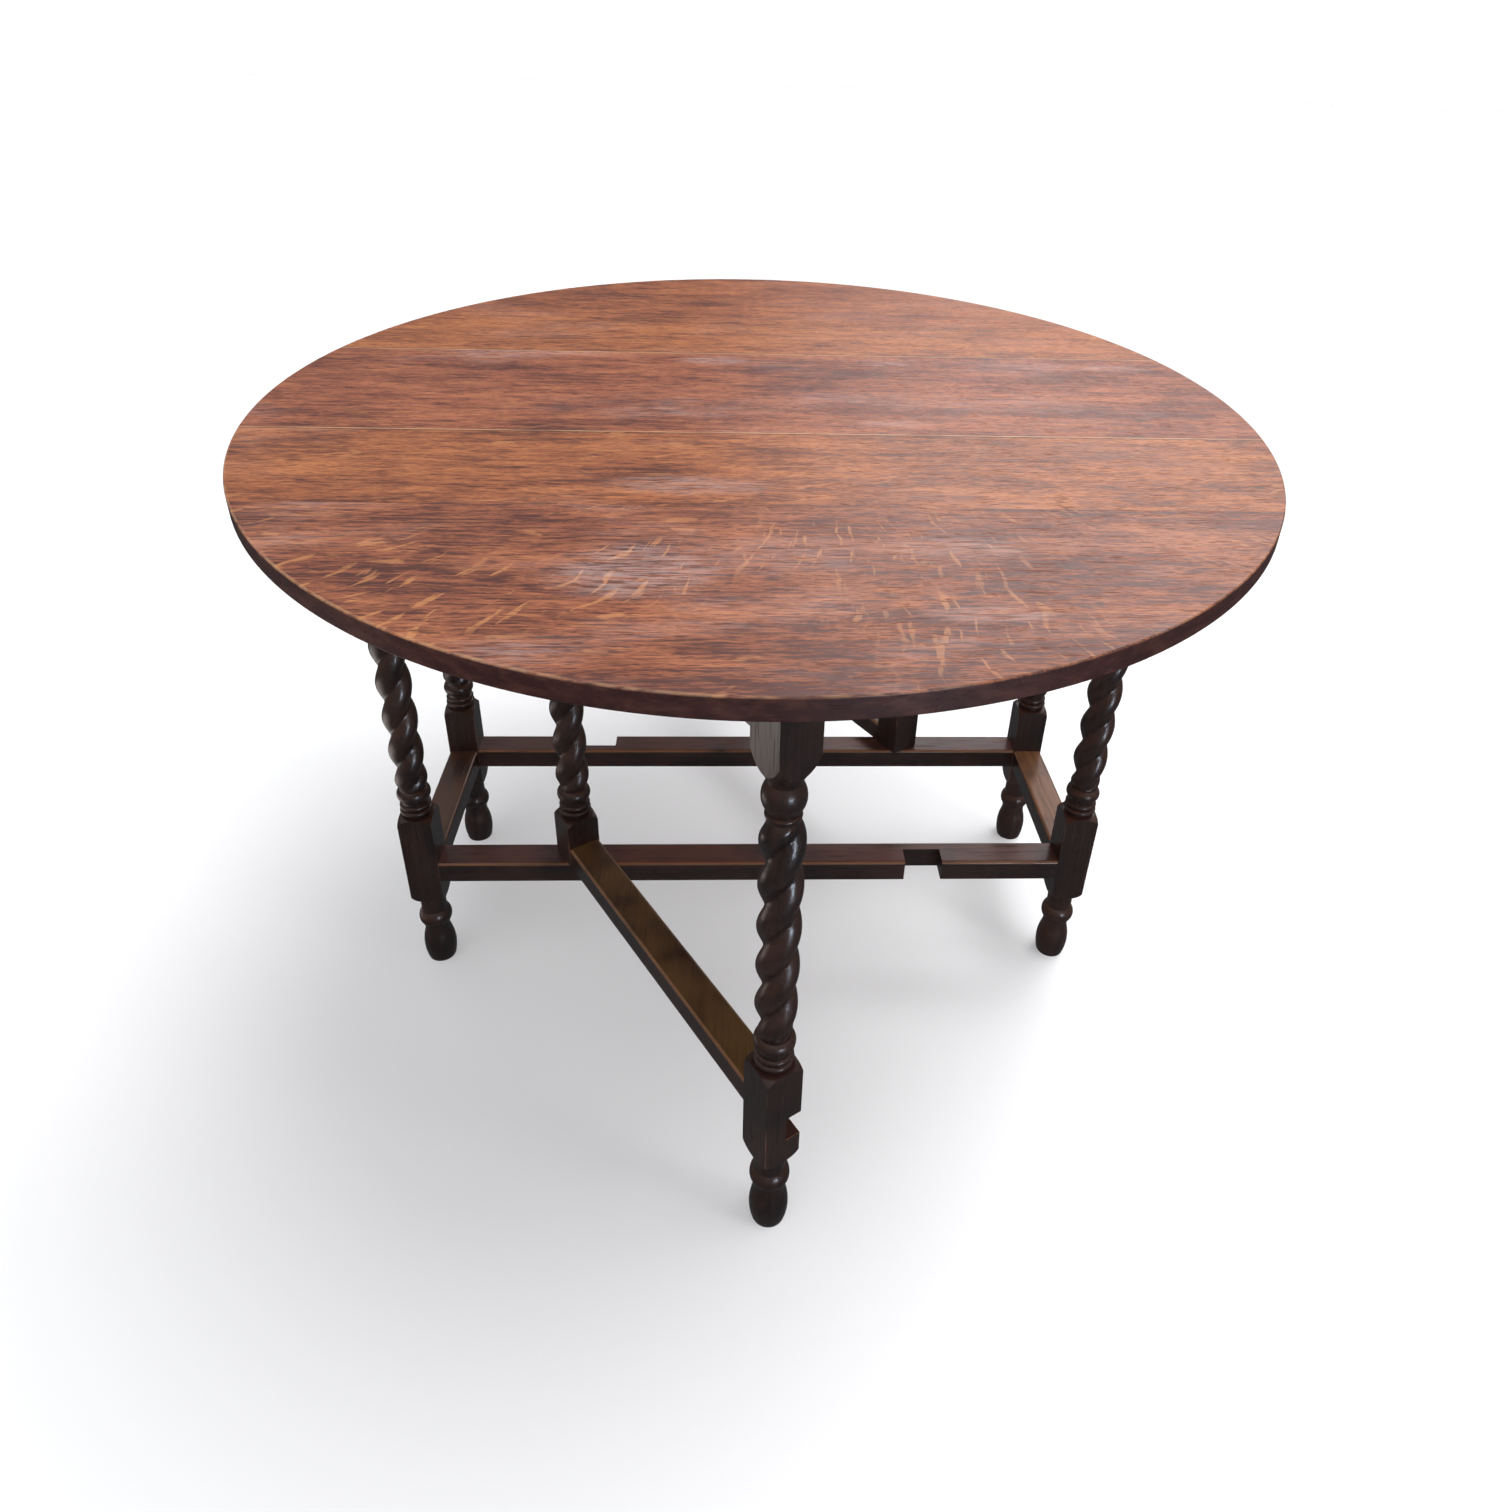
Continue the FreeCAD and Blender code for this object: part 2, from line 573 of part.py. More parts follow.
def top_screw_holes(name, long_x):
    """Clearance holes and counterbores for those screws, in the frame of the front rail."""
    low = value(RAIL_LOW)
    tall = value(TOP_SCREW_HEAD) - low + OVER
    holes = top_screws(SIZE["screw_play"])
    for x, y in TOP_SCREW_PLACES:
        holes.append(Part.makeCylinder(SIZE["top_screw_bore_r"], tall, Vector(x, y, low - OVER)))
    shift = Vector(value(long_x), value("leg_y + rail_thick / 2"), -low)
    for hole in holes:
        hole.translate(shift)
    return coded(f"{name}_screw_holes", Part.makeCompound(holes))


# ---------------------------------------------------------------- top boards
def oval_plate(name):
    """The whole oval as one plate with rounded arrises."""
    oval = doc.addObject("Part::Ellipse", name + "_outline")
    oval.setExpression("MajorRadius", bound("top_width / 2"))
    oval.setExpression("MinorRadius", bound("top_length / 2"))
    place(oval, 0, 0, UNDERSIDE, 90)
    plate = doc.addObject("Part::Extrusion", name + "_plate")
    plate.Base = oval
    plate.DirMode = "Custom"
    plate.Dir = Vector(0, 0, 1)
    plate.Solid = True
    plate.setExpression("LengthFwd", bound("top_thick"))
    doc.recompute()
    rounded = doc.addObject("Part::Fillet", name + "_rounded")
    rounded.Base = plate
    radius = SIZE["arris"]
    rounded.Edges = [(number, radius, radius) for number, edge in enumerate(plate.Shape.Edges, 1)
                     if edge.isClosed()]
    doc.recompute()
    return rounded


def prism(outline):
    """A YZ outline of points and (middle, end) arcs, drawn out along X past the top."""
    edges = []
    last = outline[0]
    for step in outline[1:] + [outline[0]]:
        if len(step) == 4:
            middle, end = Vector(0, step[0], step[1]), (step[2], step[3])
            edges.append(Part.Arc(Vector(0, *last), middle, Vector(0, *end)).toShape())
        else:
            end = step
            edges.append(Part.LineSegment(Vector(0, *last), Vector(0, *end)).toShape())
        last = end
    face = Part.Face(Part.Wire(edges))
    reach = SIZE["top_length"]
    solid = face.extrude(Vector(2 * reach, 0, 0))
    solid.translate(Vector(-reach, 0, 0))
    return solid


def rule_joint(side, gap):
    """The quarter round of the joint on one side: its end points, its middle and its foot."""
    low = value(UNDERSIDE)
    axis_z = low + SIZE["knuckle_r"]
    radius = SIZE["top_thick"] - SIZE["knuckle_r"] - SIZE["joint_step"] + gap
    slant = radius / math.sqrt(2)
    joint = SIZE["joint_y"]
    upper = (side * (joint + gap), axis_z + math.sqrt(radius ** 2 - gap ** 2))
    middle = (side * (joint + slant), axis_z + slant)
    lower = (side * (joint + radius), axis_z)
    return upper, middle, lower, (lower[0], low - OVER)


def middle_board_prism():
    top = SIZE["table_height"] + OVER
    right, left = rule_joint(1, 0), rule_joint(-1, 0)
    outline = [(right[0][0], top), right[0], (*right[1], *right[2]), right[3],
               left[3], left[2], (*left[1], *left[0]), (left[0][0], top)]
    return prism(outline)


def leaf_inner_prism():
    top, low = SIZE["table_height"] + OVER, value(UNDERSIDE) - OVER
    upper, middle, lower, base = rule_joint(-1, SIZE["joint_gap"])
    outline = [(-SIZE["glue_y"], top), (-SIZE["glue_y"], low), base, lower,
               (*middle, *upper), (upper[0], top)]
    return prism(outline)


def hinge_recess():
    """Sinkings for the front hinges: their plates, and their knuckles in the middle board."""
    low, play = value(UNDERSIDE) - OVER, SIZE["hinge_play"]
    wide = SIZE["hinge_wide"] + 2 * play
    axis, knuckle = -SIZE["joint_y"], SIZE["knuckle_r"] + play
    plate_y = SIZE["flap_board"] + SIZE["flap_leaf"] + 2 * play
    solids = []
    for way in (-1, 0, 1):
        x = way * SIZE["hinge_x"] - wide / 2
        solids.append(Part.makeBox(wide, plate_y, SIZE["flap_thick"] + play + OVER,
                                   Vector(x, axis - SIZE["flap_leaf"] - play, low)))
        solids.append(Part.makeBox(wide, 2 * knuckle, 2 * SIZE["knuckle_r"] + play + OVER,
                                   Vector(x, axis - knuckle, low)))
    return solids


def half_turned(solids):
    """The solids with their copies after half a turn about Z."""
    both = list(solids)
    for solid in solids:
        copy = solid.copy()
        copy.rotate(Vector(), Vector(0, 0, 1), 180)
        both.append(copy)
    return both


def common(name, base, shape):
    result = doc.addObject("Part::Common", name)
    result.Base = base
    result.Tool = coded(name + "_shape", shape)
    doc.recompute()
    return result


def top_boards():
    plate = oval_plate("oval")
    play = SIZE["screw_play"]
    sunk = hinge_recess() + hinge_screws(play)
    board = common("middle_board_blank", plate, middle_board_prism())
    sinkings = coded("middle_board_sinkings",
                     Part.makeCompound(half_turned(sunk + top_screws(play))))
    keep(cut("middle_board_cut", board, sinkings), "middle_board")
    reach, width = SIZE["top_length"], SIZE["top_width"]
    outer = Part.makeBox(2 * reach, width, 2 * SIZE["top_thick"],
                         Vector(-reach, -width - SIZE["glue_y"], value(UNDERSIDE) - OVER))
    for side, turn in (("front", 0), ("back", 180)):
        inner = common(f"{side}_leaf_inner_blank", plate, leaf_inner_prism())
        tools = coded(f"{side}_leaf_inner_sinkings", Part.makeCompound(sunk))
        inner = cut(f"{side}_leaf_inner_cut", inner, tools)
        place(inner, turn=turn)
        keep(inner, f"{side}_leaf_inner_board")
        blank = common(f"{side}_leaf_outer_blank", plate, outer)
        holes = coded(f"{side}_leaf_outer_holes", Part.makeCompound(stop_screws(play)))
        blank = cut(f"{side}_leaf_outer_cut", blank, holes)
        place(blank, turn=turn)
        keep(blank, f"{side}_leaf_outer_board")


# ---------------------------------------------------------------- hinges, stops and screws
def hinge_flap(reach, side, outer_knuckles):
    """One flap of a back-flap hinge, its pin along X at the origin, reaching to side * Y."""
    wide, play, thick = SIZE["hinge_wide"], SIZE["hinge_play"], SIZE["flap_thick"]
    knuckle = SIZE["knuckle_r"]
    third = wide / 3
    start = 0 if side > 0 else -reach
    flap = Part.makeBox(wide, reach, thick, Vector(-wide / 2, start, -knuckle))
    spans = [(-wide / 2, third - play), (third / 2 + play, third - play)]
    if not outer_knuckles:
        spans = [(-third / 2, third)]
    gaps = [(-third / 2 - play, third + 2 * play)]
    if not outer_knuckles:
        gaps = [(-wide / 2 - OVER, third + OVER), (third / 2, third + OVER)]
    slots = [Part.makeBox(long, 2 * (knuckle + play), 4 * knuckle,
                          Vector(x, -knuckle - play, -2 * knuckle)) for x, long in gaps]
    flap = flap.cut(slots)
    rolls = [Part.makeCylinder(knuckle, long, Vector(x, 0, 0), Vector(1, 0, 0)) for x, long in spans]
    flap = flap.fuse(rolls)
    bore = Part.makeCylinder(SIZE["hinge_pin_r"] + SIZE["pin_run"], 2 * wide, Vector(-wide, 0, 0),
                             Vector(1, 0, 0))
    return flap.cut(bore).removeSplitter()


def hinges(side, turn):
    low, axis = value(UNDERSIDE), -SIZE["joint_y"]
    holes = hinge_screws(SIZE["screw_play"])
    pin_z = f"{UNDERSIDE} + knuckle_r"
    for spot, way in (("left", -1), ("middle", 0), ("right", 1)):
        shift = Vector(-way * SIZE["hinge_x"], -axis, -low - SIZE["knuckle_r"])
        drills = [hole.translated(shift) for hole in holes]
        x = f"{-way if turn else way} * hinge_x"
        y = "joint_y" if turn else "-joint_y"
        for flap, facing, outer in (("board", 1, True), ("leaf", -1, False)):
            plate = hinge_flap(SIZE[f"flap_{flap}"], facing, outer).cut(drills)
            piece = coded(f"{side}_{spot}_{flap}_flap", plate)
            place(piece, x, y, pin_z, turn)
            keep(piece, f"{side}_hinge_{spot}_{flap}_flap")
        pin = doc.addObject("Part::Cylinder", f"{side}_{spot}_pin")
        pin.setExpression("Radius", bound("hinge_pin_r"))
        pin.setExpression("Height", bound("hinge_wide"))
        pin.Placement = Placement(Vector(), Rotation(Vector(0, 1, 0), 90))
        for letter, text in zip("xyz", (f"{x} - hinge_wide / 2", y, pin_z)):
            pin.setExpression(f"Placement.Base.{letter}", bound(text))
        keep(pin, f"{side}_hinge_{spot}_pin")


def leaf_stop(side, turn):
    """The block under a leaf that the open gate rests against, and its two screws."""
    block = box(f"{side}_stop_block", ("gate_reach - stop_long / 2",
                                       f"-{HALF_STOCK} - gate_top_gap - stop_wide",
                                       f"{UNDERSIDE} - stop_tall"),
                ("stop_long", "stop_wide", "stop_tall"))
    drills = stop_screws(SIZE["screw_play"])
    for drill in drills:
        drill.translate(Vector(SIZE["pivot_x"], SIZE["leg_y"], 0))
        drill.rotate(Vector(), Vector(0, 0, 1), SIZE["gate_open"])
    block = cut(f"{side}_stop_cut", block, coded(f"{side}_stop_drills", Part.makeCompound(drills)))
    gate_place(block, side, turn)
    keep(block, f"{side}_leaf_stop")
    group = coded(f"{side}_stop_screw_group", Part.makeCompound(stop_screws()))
    place(group, turn=turn)
    keep(group, f"{side}_leaf_stop_screws")


def screw_groups(side, turn):
    for label, solids in ((f"{side}_hinge_screws", hinge_screws()), (f"{side}_top_screws", top_screws())):
        group = coded(label + "_group", Part.makeCompound(solids))
        place(group, turn=turn)
        keep(group, label)


# ---------------------------------------------------------------- gates
def gate_place(piece, side, turn):
    """Stand a gate piece, modelled closed along +X from its pivot, at the open gate."""
    sign = "" if turn else "-"
    place(piece, f"{sign}pivot_x", f"{sign}leg_y", 0, f"{turn} - gate_open")


def gate_leg(side, turn):
    """The swinging leg, halved over the stretcher and the rail that it closes against."""
    name = f"{side}_gate_leg"
    column = coded(name + "_column", GATE_LEG_SHAPE)
    over = f"(leg_stock + {2 * OVER})"
    low = box(name + "_low_halving",
              (f"-{over} / 2", "stretcher_wide / 2 - stretcher_web - notch_back",
               "stretcher_low - gate_gap"),
              (over, "leg_stock", "stretcher_tall + 2 * gate_gap"))
    high = box(name + "_high_halving",
               (f"-{over} / 2", "rail_thick / 2 - rail_web - notch_back", f"{RAIL_LOW} - gate_gap"),
               (over, "leg_stock", "rail_tall + 2 * gate_gap"))
    sockets = [mortise(name + "_low_socket", "-X", GATE_RAIL_LOW, "stretcher_tall"),
               mortise(name + "_high_socket", "-X", GATE_UPPER_LOW, "gate_rail_tall")]
    leg = cut(name + "_cut", column, low, high, *sockets)
    angle = f"({turn} - gate_open)"
    sign = "" if turn else "-"
    place(leg, f"{sign}pivot_x + gate_reach * cos({angle} * 1deg)",
          f"{sign}leg_y + gate_reach * sin({angle} * 1deg)", 0, f"{turn} - gate_open")
    keep(leg, name)


def pivot_post(side, turn):
    """The post that the gate turns on, with a round pin at each end."""
    name = f"{side}_pivot_post"
    column = coded(name + "_column", POST_SHAPE)
    tall = f"pin_long + post_gap + {PIN_ROOT}"
    low = cylinder(name + "_low_pin", (0, 0, f"{STRETCHER_TOP} - pin_long"), "pin_low_r", tall)
    high = cylinder(name + "_high_pin", (0, 0, f"{RAIL_LOW} - post_gap - {PIN_ROOT}"), "pin_high_r", tall)
    solid = joined(name + "_joined", column, low, high)
    sockets = [mortise(name + "_low_socket", "+X", GATE_RAIL_LOW, "stretcher_tall"),
               mortise(name + "_high_socket", "+X", GATE_UPPER_LOW, "gate_rail_tall")]
    doc.recompute()
    post = cut(name + "_cut", solid, *sockets)
    gate_place(post, side, turn)
    keep(post, name)


def gate_bars(side, turn):
    span = "(gate_reach - leg_stock)"
    for label, wide, tall, low, rounded in (
            ("lower", "stretcher_wide", "stretcher_tall", GATE_RAIL_LOW, True),
            ("upper", "rail_thick", "gate_rail_tall", GATE_UPPER_LOW, False)):
        piece = bar(f"{side}_gate_{label}_rail", span, wide, tall, rounded)
        angle = f"({turn} - gate_open) * 1deg"
        start_x, start_y = f"({HALF_STOCK} - tenon_deep)", f"({wide} / 2)"
        sign = "" if turn else "-"
        place(piece, f"{sign}pivot_x + {start_x} * cos({angle}) + {start_y} * sin({angle})",
              f"{sign}leg_y + {start_x} * sin({angle}) - {start_y} * cos({angle})",
              low, f"{turn} - gate_open")
        keep(piece, f"{side}_gate_{label}_rail")


GATE_LEG_SHAPE = leg_column(value(f"{UNDERSIDE} - gate_top_gap"))
GATE_LEG_SHAPE.rotate(Vector(), Vector(0, 0, 1), GATE_LEG_TURN)
POST_SHAPE = post_column(value(f"{STRETCHER_TOP} + post_gap"), value(f"{RAIL_LOW} - post_gap"))


# ---------------------------------------------------------------- build, check and write
def build():
    top_boards()
    for side, turn in (("front", 0), ("back", 180)):
        left, right = ("left", "right") if not turn else ("right", "left")
        frame_leg(f"leg_{side}_{left}", "+X", "+Y", turn)
        frame_leg(f"leg_{side}_{right}", "-X", "+Y", turn)
        frame_bars(side, turn)
        hinges(side, turn)
        screw_groups(side, turn)
        leaf_stop(side, turn)
        pivot_post(side, turn)
        gate_leg(side, turn)
        gate_bars(side, turn)
    doc.recompute()


def check():
    for item in doc.Objects:
        if "Invalid" in item.State or "Error" in item.State:
            raise RuntimeError(f"{item.Name} failed: {item.State}")
    for part in parts:
        if part.Shape.isNull() or not part.Shape.isValid() or not part.Shape.Solids:
            raise RuntimeError(f"{part.Label} has no valid solid")


def write():
    os.makedirs("parts", exist_ok=True)
    for part in parts:
        part.Shape.exportStep(f"parts/{part.Label}.step")
    print(len(parts), "sub-parts written")


build()
check()
write()
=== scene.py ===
"""An oval gateleg table in oak with barley-twist legs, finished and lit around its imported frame."""
import json
import math

import bmesh
import bpy
from bpy.props import FloatProperty, FloatVectorProperty, PointerProperty
from mathutils import Matrix, Vector


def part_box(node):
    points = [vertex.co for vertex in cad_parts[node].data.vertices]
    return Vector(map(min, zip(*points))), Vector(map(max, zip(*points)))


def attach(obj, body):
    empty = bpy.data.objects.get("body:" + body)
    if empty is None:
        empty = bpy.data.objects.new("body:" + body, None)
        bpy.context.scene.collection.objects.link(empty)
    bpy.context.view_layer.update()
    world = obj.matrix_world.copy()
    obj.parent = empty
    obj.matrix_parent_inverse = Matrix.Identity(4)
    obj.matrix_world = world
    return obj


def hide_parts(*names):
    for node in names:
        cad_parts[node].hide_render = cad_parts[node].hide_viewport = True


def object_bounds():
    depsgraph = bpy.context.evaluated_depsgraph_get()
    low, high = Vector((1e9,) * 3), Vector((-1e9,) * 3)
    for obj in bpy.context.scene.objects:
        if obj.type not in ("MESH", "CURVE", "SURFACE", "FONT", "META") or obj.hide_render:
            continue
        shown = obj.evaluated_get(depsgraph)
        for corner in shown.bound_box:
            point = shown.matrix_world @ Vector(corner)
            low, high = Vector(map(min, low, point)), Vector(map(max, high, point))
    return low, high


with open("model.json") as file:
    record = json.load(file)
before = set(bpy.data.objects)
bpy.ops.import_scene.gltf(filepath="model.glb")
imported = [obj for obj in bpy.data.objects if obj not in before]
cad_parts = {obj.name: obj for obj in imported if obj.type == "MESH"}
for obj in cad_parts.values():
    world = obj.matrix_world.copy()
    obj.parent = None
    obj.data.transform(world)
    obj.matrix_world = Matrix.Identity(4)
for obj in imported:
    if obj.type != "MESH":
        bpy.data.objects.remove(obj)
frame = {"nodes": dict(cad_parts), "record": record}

bl_info = {
    "name": "Gateleg table",
    "version": (1, 0, 0),
    "blender": (4, 5, 0),
    "location": "3D View > Sidebar > Gateleg",
    "description": "Worn oak finishes, wear and a studio for an oval gateleg table",
    "category": "Object",
}

CAD_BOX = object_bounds()
NODES = frame["nodes"]
BODIES = frame["record"]["behaviour"]["bodies"]
BODY_OF = {node: body for body, members in BODIES.items() for node in members}
LOW, HIGH = (Vector(corner) for corner in CAD_BOX)
TOP_LONG = (HIGH.x - LOW.x) / 2
TOP_WIDE = (HIGH.y - LOW.y) / 2
TOP_Z = HIGH.z
UNDER_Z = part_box("middle_board")[0][2]
JOINT_Y = -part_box("front_leaf_inner_board")[1][1]


# ------------------------------------------------------------------ shader wiring
class Wire:
    """A socket of a material under construction; sums on it add Math nodes."""

    def __init__(self, finish, socket):
        self.finish = finish
        self.socket = socket

    def maths(self, operation, first, second=None):
        return self.finish.node("ShaderNodeMath", {"operation": operation}, first, second)

    def __add__(self, other):
        return self.maths("ADD", self, other)

    def __radd__(self, other):
        return self.maths("ADD", other, self)

    def __sub__(self, other):
        return self.maths("SUBTRACT", self, other)

    def __rsub__(self, other):
        return self.maths("SUBTRACT", other, self)

    def __mul__(self, other):
        return self.maths("MULTIPLY", self, other)

    def __rmul__(self, other):
        return self.maths("MULTIPLY", other, self)

    def __truediv__(self, other):
        return self.maths("DIVIDE", self, other)

    def __pow__(self, other):
        return self.maths("POWER", self, other)

    def bigger(self, other):
        return self.maths("MAXIMUM", self, other)

    def smaller(self, other):
        return self.maths("MINIMUM", self, other)

    def size(self):
        return self.maths("ABSOLUTE", self)

    def ramp(self, start, end):
        """0 before start and 1 past end, smooth between; start may be the larger."""
        settings = {"interpolation_type": "SMOOTHSTEP", "clamp": True}
        return self.finish.node("ShaderNodeMapRange", settings, self, start, end, 0.0, 1.0)


class Finish:
    """A material with a Principled shader, built by expressions on wires."""

    def __init__(self, name):
        self.material = bpy.data.materials.new(name)
        self.material.use_nodes = True
        self.tree = self.material.node_tree
        self.shader = self.tree.nodes["Principled BSDF"]
        self.x, self.y, self.z = self.split(self.node("ShaderNodeTexCoord", {}, out="Object"))

    def feed(self, socket, value):
        if isinstance(value, Wire):
            self.tree.links.new(value.socket, socket)
        elif value is not None:
            if hasattr(value, "__len__") and len(value) == 3 and socket.type == "RGBA":
                value = (*value, 1.0)
            socket.default_value = value

    def node(self, kind, settings, *inputs, out=0, **named):
        """Add a node: its settings first, then the values or wires of its inputs."""
        node = self.tree.nodes.new(kind)
        for key, value in settings.items():
            setattr(node, key, value)
        for number, value in enumerate(inputs):
            self.feed(node.inputs[number], value)
        for key, value in named.items():
            self.feed(node.inputs[key.title()], value)
        return Wire(self, node.outputs[out])

    def vector(self, x, y, z):
        return self.node("ShaderNodeCombineXYZ", {}, x, y, z)

    def split(self, vector):
        """The X, Y and Z of a vector."""
        parts = self.tree.nodes.new("ShaderNodeSeparateXYZ")
        self.feed(parts.inputs[0], vector)
        return [Wire(self, parts.outputs[axis]) for axis in "XYZ"]

    def noise(self, x, y, z, detail=2.0, rough=0.5):
        """Noise from 0 to 1 at a stretched place."""
        return self.node("ShaderNodeTexNoise", {}, self.vector(x, y, z), scale=1.0,
                         detail=detail, roughness=rough)

    def mix(self, factor, first, second, blend="MIX"):
        node = self.tree.nodes.new("ShaderNodeMix")
        node.data_type = "RGBA"
        node.blend_type = blend
        for number, value in ((0, factor), (6, first), (7, second)):
            self.feed(node.inputs[number], value)
        return Wire(self, node.outputs[2])

    def bump(self, height, distance, strength=1.0, normal=None):
        return self.node("ShaderNodeBump", {}, height=height, distance=distance,
                         strength=strength, normal=normal)

    def attribute(self, name):
        return self.node("ShaderNodeAttribute", {"attribute_name": name}, out="Fac")

    def surface(self, **sockets):
        for key, value in sockets.items():
            self.feed(self.shader.inputs[key.replace("_", " ").title()], value)
        return self.material


# ------------------------------------------------------------------ settings
def colour(name, note, value):
    return FloatVectorProperty(name=name, description=note, subtype="COLOR", size=3,
                               min=0.0, max=1.0, default=value)


def length(name, note, value):
    return FloatProperty(name=name, description=note, default=value, unit="LENGTH")


class GatelegWear(bpy.types.PropertyGroup):
    """How far the corners are rubbed down."""

    board: length("Board edges", "Rounding of the boards' long edges", 0.0006)
    leg: length("Leg corners", "Rounding of the square blocks' corners", 0.0011)
    bar: length("Bar edges", "Rounding of the rails' and stretchers' edges", 0.0009)
    shortest: length("Shortest edge", "Edges shorter than this stay sharp", 0.008)


class GatelegOak(bpy.types.PropertyGroup):
    """Colours of the polished top and of the dark frame."""

    deep: colour("Deep", "Dark lines of the top", (0.080, 0.026, 0.019))
    body: colour("Body", "Main colour of the top", (0.270, 0.086, 0.040))
    warm: colour("Warm", "Light lines of the top", (0.440, 0.165, 0.070))
    ray: colour("Ray figure", "Ray flecks of the top", (0.520, 0.220, 0.085))
    # Pale colour of bloomed polish, also used as a painted sheen and painted glints on the top
    haze_and_sheen: colour("Haze", "Bloomed and scuffed polish", (0.560, 0.400, 0.370))
    edge: colour("Rubbed edge", "Arris of the top", (0.520, 0.300, 0.160))
    rim: colour("Rim", "Edge of the boards", (0.042, 0.0050, 0.0036))
    frame_dark: colour("Frame", "Stained frame", (0.0085, 0.0040, 0.0036))
    frame_brown: colour("Frame, rubbed", "Frame where the stain is thin", (0.046, 0.0160, 0.0105))
    frame_red: colour("Frame, red", "Tops of the long stretchers", (0.085, 0.030, 0.022))
    frame_olive: colour("Frame, olive", "Tops of the gates' lower rails", (0.095, 0.050, 0.014))
    frame_tan: colour("Frame, worn through", "Where feet rest and along edges",
                      (0.250, 0.110, 0.046))


class GatelegStudio(bpy.types.PropertyGroup):
    """The camera and the floor."""

    place: FloatVectorProperty(name="Camera", description="Where the camera stands", subtype="XYZ",
                               unit="LENGTH", default=(-0.0331, -1.1598, 1.0698))
    turn: FloatProperty(name="Turn", description="Camera turned to the left", subtype="ANGLE",
                        default=-0.0479)
    tilt: FloatProperty(name="Tilt", description="Camera tilted down", subtype="ANGLE",
                        default=0.5274)
    roll: FloatProperty(name="Roll", description="Camera rolled", subtype="ANGLE",
                        default=0.0285)
    lens: FloatProperty(name="Lens", description="Focal length in millimetres", default=24.86)
    shift: FloatVectorProperty(name="Shift", description="Lens shift as a share of the width",
                               size=2, default=(-0.0092, -0.0657))
    floor: colour("Floor", "Pale studio floor", (0.86, 0.86, 0.87))


# ------------------------------------------------------------------ materials
SCUFFS_AND_SHEEN = (
    # scuffed places of the top, painted pale partly as bloomed polish and partly as painted sheen: x,
    # y, half length, half width, strength
    (-0.100, -0.470, 0.075, 0.050, 0.9),
    (0.010, -0.440, 0.090, 0.045, 0.5),
    (-0.066, -0.300, 0.080, 0.026, 0.7),
    (0.140, -0.425, 0.070, 0.022, 0.8),
    (0.150, -0.535, 0.050, 0.014, 0.8),
    (-0.049, 0.120, 0.050, 0.024, 0.9),
    (0.140, -0.120, 0.050, 0.015, 1.0),
    (0.162, 0.117, 0.032, 0.015, 1.0),
    (0.430, 0.112, 0.055, 0.017, 1.0),
    (0.300, -0.060, 0.060, 0.018, 0.6),
)
# Marks of each layer per metre, along the board and across it.
FIBRES = (46.0, 560.0)
LINES = (15.0, 165.0)
BANDS = (1.3, 30.0)
CLOUDS = (6.5, 17.0)
WARP = (9.0, 11.0)
CURL = (30.0, 30.0)
FLECK_GROUPS = (5.0, 9.0)
EYES = (24.0, 50.0)
STREAKS = (9.0, 150.0)
SCRATCHES = (38.0, 400.0)
BLOOM = (4.5, 10.0)
# Ray flecks per metre away from their focus, and for each radian round it.
FLECKS = (24.0, 130.0)
# Places across the edge of the oval, as shares of the way out from the middle.
ARRIS = (0.9958, 0.9980)
SIDE = (0.975, 0.985)
# Heights below the upper face, and above the underside, between which one finish meets the next.
UPPER = (0.0022, 0.0006)
UNDER = (0.0006, 0.0001)
# Distances from the rule joint: the worn line on the middle board, and the dark gap beside it.
WORN_START, WORN_END = (0.0002, 0.0008), (0.0038, 0.0024)
GAP_START, GAP_END = (-0.0018, -0.0012), (0.0005, 0.0001)


